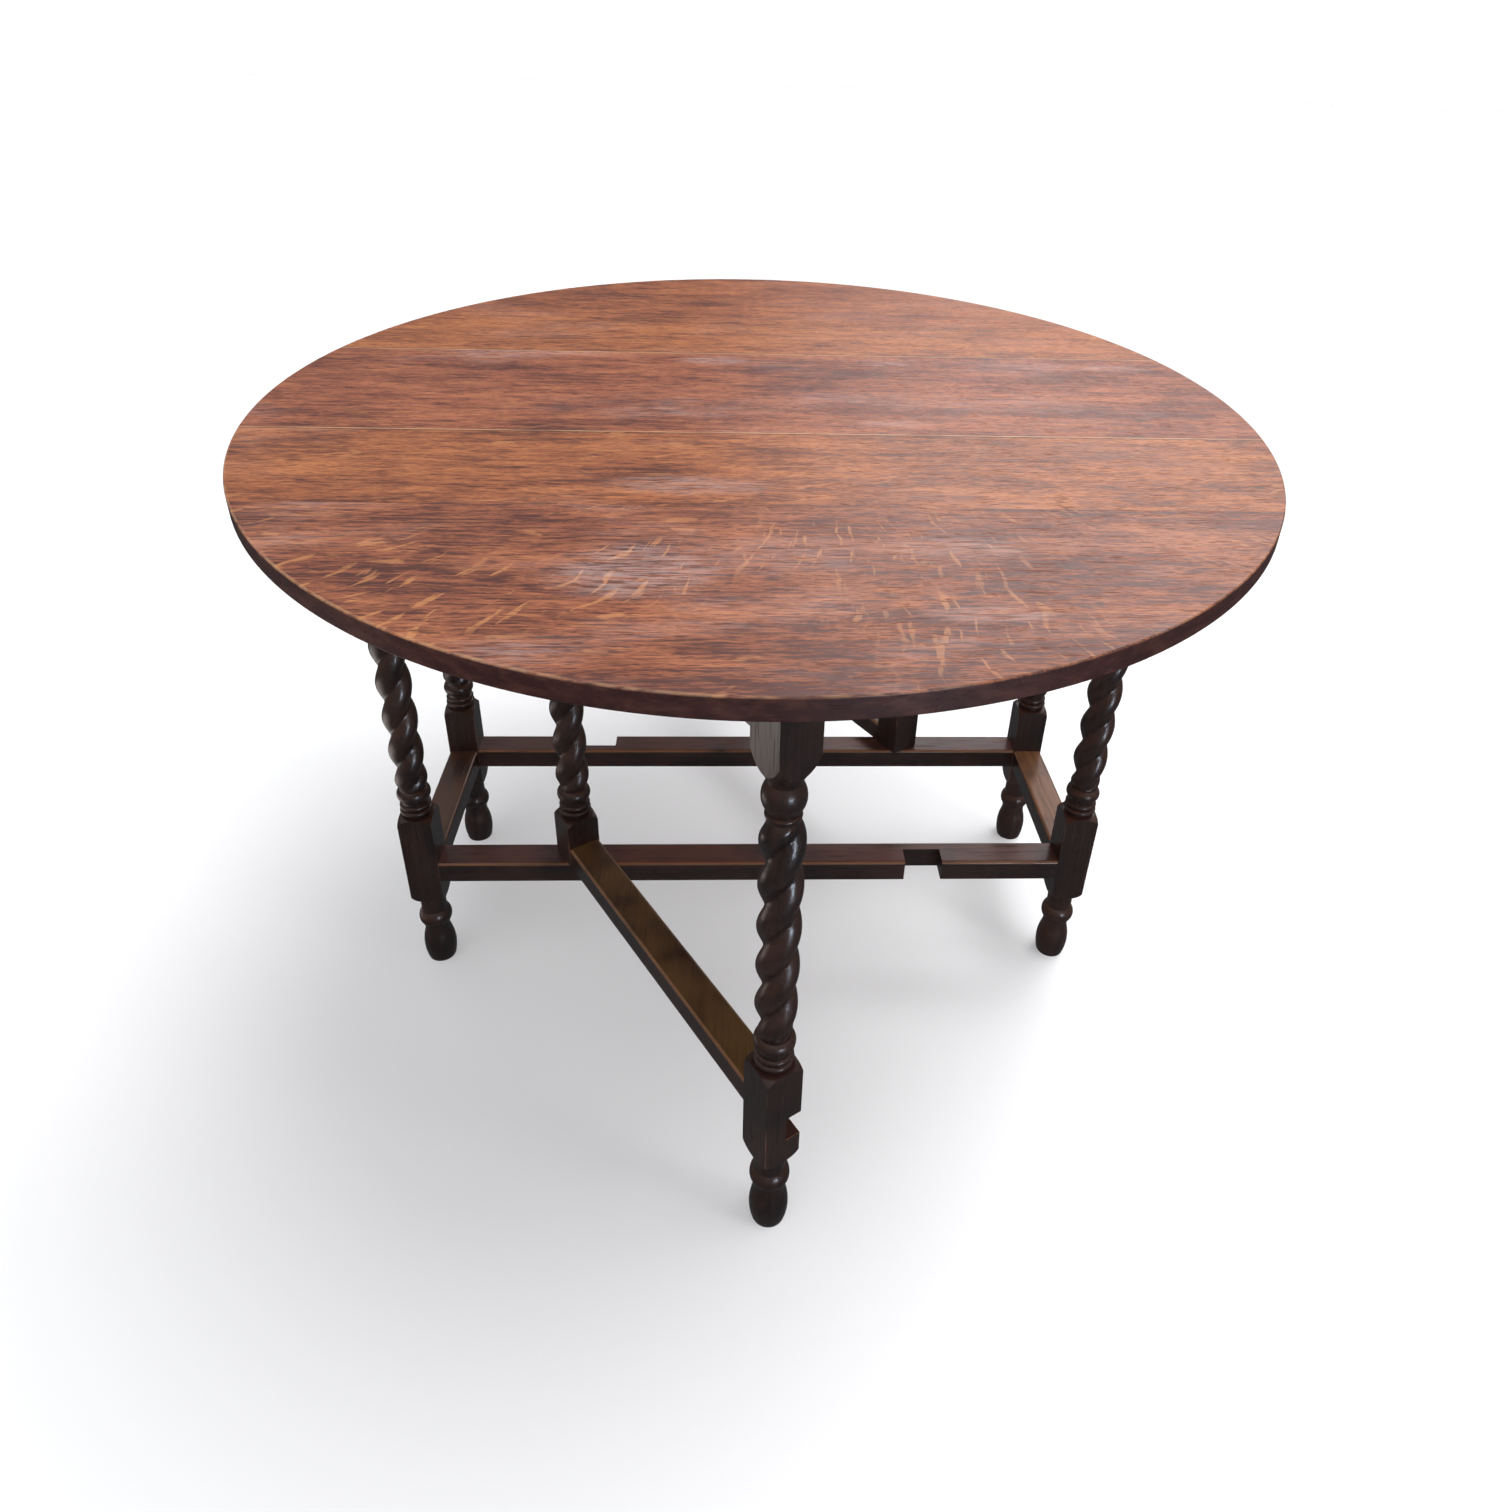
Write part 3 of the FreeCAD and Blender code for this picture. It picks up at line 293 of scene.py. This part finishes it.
class TopOak(Finish):
    """Polished quarter-sawn oak with its lines along X.

    The seed sets one board's grain apart from the next, tone its lightness and tint its hue.
    Figure is the strength of the ray flecks, which fan out from the focus, given as x, y and
    how far round they spread.  Bloomed is how much of the polish has gone milky, partly real bloom
    and partly painted sheen.
    """

    def __init__(self, name, seed, tone, tint, figure, focus, bloomed):
        super().__init__(name)
        self.oak = bpy.context.scene.gateleg_oak
        self.seed = seed
        self.along = self.x + seed * 1.37
        self.grow(tone)
        self.flame(figure, focus)
        self.scuff_and_sheen(bloomed)
        self.edges()
        self.paint(tint)

    def marks(self, size, layer, detail, rough=0.5):
        """Noise stretched along the board; each layer has its own."""
        return self.noise(self.along * size[0], self.y * size[1], self.seed + layer, detail, rough)

    def grow(self, tone):
        """Fibres, lines, bands, clouds and pores."""
        drift = self.noise(self.along * 1.5, self.y * 5.0, self.seed, detail=1.0) - 0.5
        across = self.y + drift * 0.016
        depth = self.z + self.seed * 0.31
        fibres, self.lines, bands = (
            self.noise(self.along * size[0], across * size[1], depth * size[1], detail, rough)
            for size, detail, rough in ((FIBRES, 2.0, 0.7), (LINES, 4.0, 0.7), (BANDS, 2.0, 0.5)))
        self.cloud = self.marks(CLOUDS, self.seed, 5.0, 0.66)
        self.fibres = fibres
        self.pores = fibres.ramp(0.56, 0.66)
        sum_of_all = fibres * 0.74 + self.lines * 0.44 + bands * 0.14 + self.cloud * 0.42
        self.shade = (sum_of_all - 0.87) * 5.8 + 0.5 + tone

    def flame(self, figure, focus):
        """The ray figure: flecks, eyes and streaks, stronger to the left."""
        warp = self.marks(WARP, 9.0, 2.0) - 0.5
        curl = self.marks(CURL, 10.0, 1.0) - 0.5
        out, up = self.x - focus[0], self.y - focus[1]
        run = (out ** 2.0 + up ** 2.0) ** 0.5 + curl * 0.012
        angle = self.node("ShaderNodeMath", {"operation": "ARCTAN2"}, up, out)
        over = angle * focus[2] + warp * 0.05
        flecks = self.noise(run * FLECKS[0], over * FLECKS[1], self.seed + 3.0).ramp(0.60, 0.665)
        flecks = flecks * self.marks(FLECK_GROUPS, 5.0, 2.0).ramp(0.40, 0.58)
        eyes = self.noise(self.along * EYES[0] + curl, self.y * EYES[1] + warp, self.seed + 11.0)
        streaks = self.marks(STREAKS, 6.0, 1.0).ramp(0.68, 0.76)
        left = (self.x.ramp(0.35, -0.30) * 0.5 + 0.6).smaller(1.0)
        marked = flecks.bigger(eyes.ramp(0.665, 0.72) * 0.8).bigger(streaks * 0.5)
        self.ray = marked * left * figure

    def scuff_and_sheen(self, bloomed):
        """Milky patches of the polish, broken up by fine scratches; partly real bloom, partly painted
        sheen and painted glints.
        """
        patches = self.marks(BLOOM, 8.0, 3.0).ramp(0.50, 0.72) * bloomed
        ragged = (self.cloud - 0.5) * 1.6
        for x, y, long, wide, strength in SCUFFS_AND_SHEEN:
            away = ((self.x - x) / long) ** 2.0 + ((self.y - y) / wide) ** 2.0 + ragged
            patches = patches.bigger(away.ramp(1.2, 0.0) * strength)
        self.patches = patches
        self.bloom_and_sheen = self.marks(SCRATCHES, 7.0, 3.0, 0.7).ramp(0.62, 0.40) * patches

    def edges(self):
        """Where the upper face, the rim, the underside, the arris and the joints are."""
        x, y, z = self.x, self.y, self.z
        reach = ((x / TOP_LONG) ** 2.0 + (y / TOP_WIDE) ** 2.0) ** 0.5
        upper = z.ramp(TOP_Z - UPPER[0], TOP_Z - UPPER[1])
        rubbed = self.noise(x * 60.0, y * 60.0, z * 60.0).ramp(0.35, 0.60) * 0.8 + 0.1
        left = x.ramp(0.20, -0.25) * 0.7 + 0.3
        self.arris = reach.ramp(*ARRIS) * upper * rubbed * left
        self.side = reach.ramp(*SIDE) * (1.0 - upper)
        self.under = z.ramp(UNDER_Z + UNDER[0], UNDER_Z + UNDER[1])
        inside = JOINT_Y - y.size()
        broken = self.noise(x * 14.0, y * 40.0, self.seed).ramp(0.30, 0.52) * 0.6 + 0.3
        self.worn = inside.ramp(*WORN_START) * inside.ramp(*WORN_END) * upper * broken
        self.gap = inside.ramp(*GAP_START) * inside.ramp(*GAP_END) * upper

    def rim(self):
        """The dark edge of the boards, ticked by end grain towards the ends."""
        x, y, z = self.x, self.y, self.z
        ticks = self.noise(x * 500.0, y * 500.0, z * 60.0, detail=1.0).ramp(0.55, 0.75)
        mottle = self.noise(x * 45.0, y * 45.0, z * 120.0, 3.0, 0.6).ramp(0.40, 0.70)
        grained = (ticks * x.ramp(0.0, 0.5) * 0.20).bigger(mottle * 0.16)
        return self.mix(grained, self.oak.rim, self.oak.body)

    def paint(self, tint):
        """Lay the colours over each other, and set gloss and relief."""
        oak, lines, pores, bloom_and_sheen, ray = self.oak, self.lines, self.pores, self.bloom_and_sheen, self.ray
        ground = self.mix(self.shade.ramp(-0.10, 0.55), oak.deep, oak.body)
        ground = self.mix(self.shade.ramp(0.45, 1.20), ground, oak.warm)
        ground = self.mix(1.0, ground, tint, "MULTIPLY")
        # The bloom cover lays painted sheen and painted glints over the real bloom of the polish.
        for cover, over in (
                (ray * (0.85 - self.fibres * 0.4), oak.ray), (pores * 0.85, oak.deep),
                (bloom_and_sheen * 0.50, oak.haze_and_sheen), (self.arris * 0.50, oak.edge), (self.worn, oak.edge),
                (self.gap * 0.9, oak.deep), (self.side, self.rim()),
                (self.under, self.mix(lines, oak.rim, oak.body))):
            ground = self.mix(cover, ground, over)
        gloss = 0.30 + lines * 0.14 + pores * 0.25 + bloom_and_sheen * 0.16 + self.patches * 0.05 - ray * 0.03
        gloss = (gloss + self.under * 0.3 + self.side * 0.12).smaller(0.9)
        ripple = self.noise(self.x * 6.0, self.y * 14.0, self.seed, detail=1.0)
        normal = self.bump(ripple, 0.0010, 0.5)
        normal = self.bump(lines * 0.45 - pores * 0.9 - bloom_and_sheen * 0.2, 0.00030, 0.9, normal)
        self.surface(base_color=ground, roughness=gloss, normal=normal, coat_weight=0.12,
                     coat_roughness=0.30)


# Lines of the stained oak per metre along X, Y and Z, by the way its grain runs.
FRAME_GRAIN = {"X": (5.0, 260.0, 260.0), "Y": (260.0, 5.0, 260.0), "Z": (230.0, 230.0, 5.0)}
FRAME_RELIEF = 0.00020
METAL_RELIEF = 0.0002
BLOTCHES = 160.0  # blotches of rust per metre


def frame_oak(name, grain_axis, seed, tops, bare):
    """Near-black stained oak, rubbed brown; tops says how far its upper faces are worn to bare."""
    oak = bpy.context.scene.gateleg_oak
    wood = Finish(name)
    place = FRAME_GRAIN[grain_axis]
    x, y, z = wood.x + seed, wood.y + seed * 0.7, wood.z
    lines = wood.noise(x * place[0], y * place[1], z * place[2], detail=3.0, rough=0.6)
    cloud = wood.noise(x * 9.0, y * 9.0, z * 9.0, detail=3.0, rough=0.6)
    pores = wood.noise(x * place[0] * 5.0, y * place[1] * 2.4, z * place[2] * 5.0, detail=1.0)
    pores = pores.ramp(0.58, 0.70)
    facing = wood.split(wood.node("ShaderNodeNewGeometry", {}, out="Normal"))[2]
    rounding = facing.ramp(0.10, 0.45) * facing.ramp(0.985, 0.85)
    upward = facing.ramp(0.55, 0.95)
    rub = (cloud * 0.9 + lines * 0.5 - 0.35).ramp(0.10, 0.55)
    ground = wood.mix(rub * 0.70, oak.frame_dark, oak.frame_brown)
    worn = upward * cloud.ramp(0.30, 0.62) * (lines * 0.8 + 0.5).smaller(1.0) * tops
    ground = wood.mix(worn, ground, bare)
    ground = wood.mix(rounding * cloud.ramp(0.25, 0.50) * (tops * 0.65), ground, oak.frame_tan)
    ground = wood.mix(wood.attribute("wear") * cloud.ramp(0.40, 0.60) * 0.7, ground, oak.frame_tan)
    ground = wood.mix(pores * 0.5, ground, oak.frame_dark)
    gloss = 0.22 + lines * 0.14 + cloud * 0.10 + pores * 0.2 + worn * 0.12
    normal = wood.bump(lines * 0.5 - pores + cloud * 0.8, FRAME_RELIEF, 0.7)
    return wood.surface(base_color=ground, roughness=gloss, normal=normal, coat_weight=0.30,
                        coat_roughness=0.16)


def old_metal(name, base, rust, rough):
    """Dull metal with darker, rougher blotches."""
    metal = Finish(name)
    place = (axis * BLOTCHES for axis in (metal.x, metal.y, metal.z))
    blotch = metal.noise(*place, detail=4.0, rough=0.6)
    spots = blotch.ramp(0.45, 0.65)
    ground = metal.mix(spots, base, rust)
    normal = metal.bump(blotch, METAL_RELIEF, 0.6)
    return metal.surface(base_color=ground, metallic=1.0 - spots * 0.6,
                         roughness=spots * 0.35 + rough, normal=normal)


# ------------------------------------------------------------------ modelling helpers
MERGE = 0.00001  # metres
FLAT = math.radians(0.4)
SHARP = math.radians(35)
SMOOTH = math.radians(38)


def only(piece):
    bpy.ops.object.select_all(action="DESELECT")
    piece.select_set(True)
    bpy.context.view_layer.objects.active = piece


def finish_piece(piece, node, material):
    """Give a piece its material, body and slot, and let it stand for its CAD node."""
    piece.data.materials.clear()
    piece.data.materials.append(material)
    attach(piece, BODY_OF[node])
    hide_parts(node)
    return piece


def clean_copy(node):
    """A copy of a CAD node as one closed mesh, its flat faces whole again."""
    source = NODES[node]
    mesh = source.data.copy()
    piece = bpy.data.objects.new(f"{node}_worn", mesh)
    bpy.context.scene.collection.objects.link(piece)
    only(piece)
    if mesh.has_custom_normals:
        bpy.ops.mesh.customdata_custom_splitnormals_clear()
    shape = bmesh.new()
    shape.from_mesh(mesh)
    bmesh.ops.remove_doubles(shape, verts=shape.verts, dist=MERGE)
    bmesh.ops.dissolve_limit(shape, angle_limit=FLAT, verts=shape.verts, edges=shape.edges)
    shape.to_mesh(mesh)
    shape.free()
    return piece


def rub_edges(piece, width, shortest):
    """Round the long, sharp, outward edges and mark the new faces as worn."""
    shape = bmesh.new()
    shape.from_mesh(piece.data)
    weight = shape.edges.layers.float.new("bevel_weight_edge")
    for edge in shape.edges:
        sharp = edge.is_manifold and edge.calc_face_angle(0.0) > SHARP
        edge[weight] = float(sharp and edge.is_convex and edge.calc_length() > shortest)
    shape.to_mesh(piece.data)
    shape.free()
    only(piece)
    piece.data.materials.clear()
    for name in ("plain", "rubbed"):
        piece.data.materials.append(bpy.data.materials.get(name) or bpy.data.materials.new(name))
    bevel = piece.modifiers.new("rub", "BEVEL")
    bevel.limit_method = "WEIGHT"
    bevel.width = width
    bevel.segments = 2
    bevel.material = 1
    bevel.use_clamp_overlap = True
    bpy.ops.object.modifier_apply(modifier=bevel.name)
    mesh = piece.data
    wear = mesh.attributes.new("wear", "FLOAT", "FACE")
    wear.data.foreach_set("value", [float(face.material_index == 1) for face in mesh.polygons])
    mesh.polygons.foreach_set("material_index", [0] * len(mesh.polygons))
    bpy.ops.object.shade_smooth_by_angle(angle=SMOOTH)
    even = piece.modifiers.new("even", "WEIGHTED_NORMAL")
    even.keep_sharp = True
    bpy.ops.object.modifier_apply(modifier=even.name)
    return piece


def worn_piece(node, material, width):
    piece = clean_copy(node)
    rub_edges(piece, width, bpy.context.scene.gateleg_wear.shortest)
    return finish_piece(piece, node, material)


def matching(*words):
    return [node for node in sorted(NODES) if any(word in node for word in words)]


# ------------------------------------------------------------------ operators
BOARD_LOOKS = {
    # board: seed, tone, tint, figure, focus, bloomed
    "middle_board": (1.3, 0.00, (0.98, 0.93, 1.02), 0.35, (1.6, 0.30, 1.6), 0.7),
    "front_leaf_inner_board": (2.9, 0.10, (1.03, 1.0, 0.88), 0.9, (0.9, 0.06, 1.1), 0.35),
    "front_leaf_outer_board": (4.2, -0.14, (0.97, 0.96, 1.02), 1.0, (0.10, -0.02, 0.55), 0.8),
    "back_leaf_inner_board": (6.1, 0.20, (1.06, 1.02, 0.88), 0.30, (1.6, 0.7, 1.6), 0.3),
    "back_leaf_outer_board": (7.7, 0.02, (1.06, 1.0, 0.92), 0.45, (0.8, 0.1, 1.1), 0.3),
}


class GATELEG_OT_boards(bpy.types.Operator):
    """Finish the five boards of the top"""

    bl_idname = "gateleg.boards"
    bl_label = "Boards of the top"

    def execute(self, context):
        for node, look in BOARD_LOOKS.items():
            board = TopOak(f"oak_{node}", *look)
            worn_piece(node, board.material, context.scene.gateleg_wear.board)
        return {"FINISHED"}


class GATELEG_OT_legs(bpy.types.Operator):
    """Finish the fixed legs, the gate legs and the pivot posts"""

    bl_idname = "gateleg.legs"
    bl_label = "Twist legs and posts"

    def execute(self, context):
        oak = context.scene.gateleg_oak
        for number, node in enumerate(matching("leg_front", "leg_back", "gate_leg", "pivot_post")):
            wood = frame_oak(f"stained_{node}", "Z", 0.37 * number, 0.1, oak.frame_brown)
            worn_piece(node, wood, context.scene.gateleg_wear.leg)
        return {"FINISHED"}


class GATELEG_OT_bars(bpy.types.Operator):
    """Finish the stretchers, the rails and the leaf stops"""

    bl_idname = "gateleg.bars"
    bl_label = "Stretchers and rails"

    def execute(self, context):
        oak = context.scene.gateleg_oak
        worn_tops = {"end_stretcher_right": (0.55, oak.frame_tan),
                     "end_stretcher_left": (0.2, oak.frame_tan),
                     "gate_lower": (0.85, oak.frame_olive),
                     "long_stretcher": (0.8, oak.frame_red)}
        bars = [node for node in matching("stretcher", "rail", "leaf_stop") if "screws" not in node]
        for number, node in enumerate(bars):
            found = [look for word, look in worn_tops.items() if word in node]
            tops, bare = found[0] if found else (0.05, oak.frame_brown)
            grain = "Y" if "end_" in node or "gate_" in node else "X"
            wood = frame_oak(f"stained_{node}", grain, 0.53 * number + 3.0, tops, bare)
            worn_piece(node, wood, context.scene.gateleg_wear.bar)
        return {"FINISHED"}


class GATELEG_OT_metal(bpy.types.Operator):
    """Finish the hinges and the screws"""

    bl_idname = "gateleg.metal"
    bl_label = "Hinges and screws"

    def execute(self, context):
        iron = old_metal("old_iron", (0.10, 0.09, 0.08), (0.045, 0.022, 0.014), 0.42)
        steel = old_metal("old_steel", (0.30, 0.27, 0.23), (0.09, 0.05, 0.03), 0.34)
        for node in matching("hinge", "screws"):
            slots = NODES[node].data.materials
            slots.clear()
            slots.append(steel if "screws" in node else iron)
        return {"FINISHED"}


BLACK, WHITE = (0.0, 0.0, 0.0), (1.0, 1.0, 1.0)
FLOOR_SIZE = 80.0
BACKDROP_RADIUS = 38.0
MIDDLE = (0.0, 0.0, TOP_Z)
PANELS = (
    # name, place, what it faces, size, strength, tint
    ("window", (1.7, 3.3, 2.9), MIDDLE, (5.2, 3.4), 2.2, (1.0, 0.92, 0.92)),
    ("low_window", (1.6, -3.2, 0.38), (0.0, -0.3, 0.38), (1.3, 0.68), 26.0, (0.72, 0.84, 1.0)),
    ("pale_floor", (-1.0, -0.1, 0.02), (-1.0, -0.1, 1.0), (1.0, 0.9), 1.4, (1.0, 0.90, 0.85)),
)


def aim(holder, place, target):
    """Put a light or a panel in its place, facing its target."""
    holder.location = place
    holder.rotation_euler = (Vector(target) - Vector(place)).to_track_quat("-Z", "Y").to_euler()


def area_light(name, place, target, size, energy):
    """A lamp that lights matt surfaces but makes no highlight."""
    lamp = bpy.data.lights.new(name, "AREA")
    lamp.shape = "RECTANGLE"
    lamp.size, lamp.size_y = size
    lamp.energy = energy
    holder = bpy.data.objects.new(name, lamp)
    bpy.context.scene.collection.objects.link(holder)
    holder.visible_glossy = False
    aim(holder, place, target)


def sun_light(name, lean, strength, spread, shadow):
    """A sun above, leaning so many degrees about X and Y, as wide as its spread; no highlight."""
    lamp = bpy.data.lights.new(name, "SUN")
    lamp.energy = strength
    lamp.angle = math.radians(spread)
    lamp.use_shadow = shadow
    holder = bpy.data.objects.new(name, lamp)
    bpy.context.scene.collection.objects.link(holder)
    holder.rotation_euler = (math.radians(lean[0]), math.radians(lean[1]), 0.0)
    holder.visible_glossy = False


def soft_panel(name, place, target, size, strength, tint):
    """A glowing panel that fades out towards its sides, seen only in reflections."""
    bpy.ops.object.select_all(action="DESELECT")
    bpy.ops.mesh.primitive_plane_add(size=1.0)
    panel = bpy.context.active_object
    panel.name = name
    panel.data.transform(Matrix.Diagonal((*size, 1.0, 1.0)))
    aim(panel, place, target)
    panel.visible_camera = False
    panel.visible_diffuse = False
    panel.visible_shadow = False
    glow = Finish(name)
    fades = [(way / (side / 2)).size().ramp(1.0, 0.3)
             for way, side in zip((glow.x, glow.y), size)]
    light = glow.mix(fades[0] * fades[1], BLACK, tint)
    panel.data.materials.append(glow.surface(base_color=BLACK, emission_color=light,
                                             emission_strength=strength))


def soft_sky(scene, overhead, low):
    """A world that is bright overhead and dim at the horizon and below."""
    world = bpy.data.worlds.new("studio")
    scene.world = world
    world.use_nodes = True
    tree = world.node_tree
    place = tree.nodes.new("ShaderNodeTexCoord")
    parts = tree.nodes.new("ShaderNodeSeparateXYZ")
    rise = tree.nodes.new("ShaderNodeMapRange")
    rise.interpolation_type = "SMOOTHSTEP"
    tree.links.new(place.outputs["Generated"], parts.inputs[0])
    tree.links.new(parts.outputs["Z"], rise.inputs["Value"])
    for name, value in {"From Min": 0.05, "From Max": 0.9, "To Min": low,
                        "To Max": overhead}.items():
        rise.inputs[name].default_value = value
    background = tree.nodes["Background"]
    background.inputs["Color"].default_value = (0.93, 0.96, 1.0, 1.0)
    tree.links.new(rise.outputs[0], background.inputs["Strength"])


def backdrop():
    """A white dome far away, seen only by the camera, so that no horizon shows."""
    bpy.ops.object.select_all(action="DESELECT")
    bpy.ops.mesh.primitive_uv_sphere_add(radius=BACKDROP_RADIUS, segments=48, ring_count=24)
    dome = bpy.context.active_object
    dome.name = "studio_backdrop"
    for use in ("visible_diffuse", "visible_glossy", "visible_transmission", "visible_shadow"):
        setattr(dome, use, False)
    white = Finish("studio_backdrop")
    dome.data.materials.append(white.surface(base_color=BLACK, roughness=1.0, emission_color=WHITE,
                                             emission_strength=1.0))


class GATELEG_OT_stage(bpy.types.Operator):
    """Set the floor, the lights and the camera"""

    bl_idname = "gateleg.stage"
    bl_label = "Floor, lights and camera"

    def execute(self, context):
        studio = context.scene.gateleg_studio
        bpy.ops.object.select_all(action="DESELECT")
        bpy.ops.mesh.primitive_plane_add(size=FLOOR_SIZE)
        floor = context.active_object
        floor.name = "studio_floor"
        paint = Finish("studio_floor")
        floor.data.materials.append(paint.surface(base_color=studio.floor, roughness=0.85))
        floor.visible_glossy = False

        soft_sky(context.scene, overhead=0.50, low=0.10)
        context.scene.view_settings.view_transform = "Standard"
        sun_light("sky", (-10.0, 20.0), 1.8, 45.0, True)
        sun_light("bounce", (20.0, -15.0), 1.5, 30.0, False)
        for panel in PANELS:
            soft_panel(*panel)
        area_light("side", (2.2, -1.4, 1.3), (0.0, -0.2, 0.4), (0.5, 1.4), 9.0)
        area_light("lamp", (1.2, 0.8, 1.9), (0.35, 0.1, TOP_Z), (0.7, 0.7), 8.0)
        backdrop()

        lens = bpy.data.cameras.new("camera")
        lens.sensor_width = 36.0
        lens.lens = studio.lens
        lens.shift_x, lens.shift_y = studio.shift
        camera = bpy.data.objects.new("camera", lens)
        context.scene.collection.objects.link(camera)
        turned = (Matrix.Rotation(studio.turn, 4, "Z")
                  @ Matrix.Rotation(math.pi / 2 - studio.tilt, 4, "X")
                  @ Matrix.Rotation(studio.roll, 4, "Z"))
        camera.matrix_world = Matrix.Translation(studio.place) @ turned
        context.scene.camera = camera
        return {"FINISHED"}


class GATELEG_PT_panel(bpy.types.Panel):
    """The steps in the order in which the table is finished"""

    bl_idname = "GATELEG_PT_panel"
    bl_label = "Gateleg table"
    bl_space_type = "VIEW_3D"
    bl_region_type = "UI"
    bl_category = "Gateleg"

    def draw(self, context):
        for group in ("gateleg_wear", "gateleg_oak", "gateleg_studio"):
            settings = getattr(context.scene, group)
            for name in settings.bl_rna.properties.keys():
                if name not in ("rna_type", "name"):
                    self.layout.prop(settings, name)
        for step in STEPS:
            self.layout.operator(step.bl_idname)


GROUPS = {"gateleg_wear": GatelegWear, "gateleg_oak": GatelegOak, "gateleg_studio": GatelegStudio}
STEPS = (GATELEG_OT_boards, GATELEG_OT_legs, GATELEG_OT_bars, GATELEG_OT_metal, GATELEG_OT_stage)
CLASSES = (*GROUPS.values(), *STEPS, GATELEG_PT_panel)


def register():
    for cls in CLASSES:
        bpy.utils.register_class(cls)
    for name, group in GROUPS.items():
        setattr(bpy.types.Scene, name, PointerProperty(type=group))


def unregister():
    for name in GROUPS:
        delattr(bpy.types.Scene, name)
    for cls in reversed(CLASSES):
        bpy.utils.unregister_class(cls)


def main():
    register()
    for step in STEPS:
        family, action = step.bl_idname.split(".")
        if getattr(getattr(bpy.ops, family), action)() != {"FINISHED"}:
            raise RuntimeError(f"{step.bl_label} did not finish")


if __name__ == "__main__":
    main()
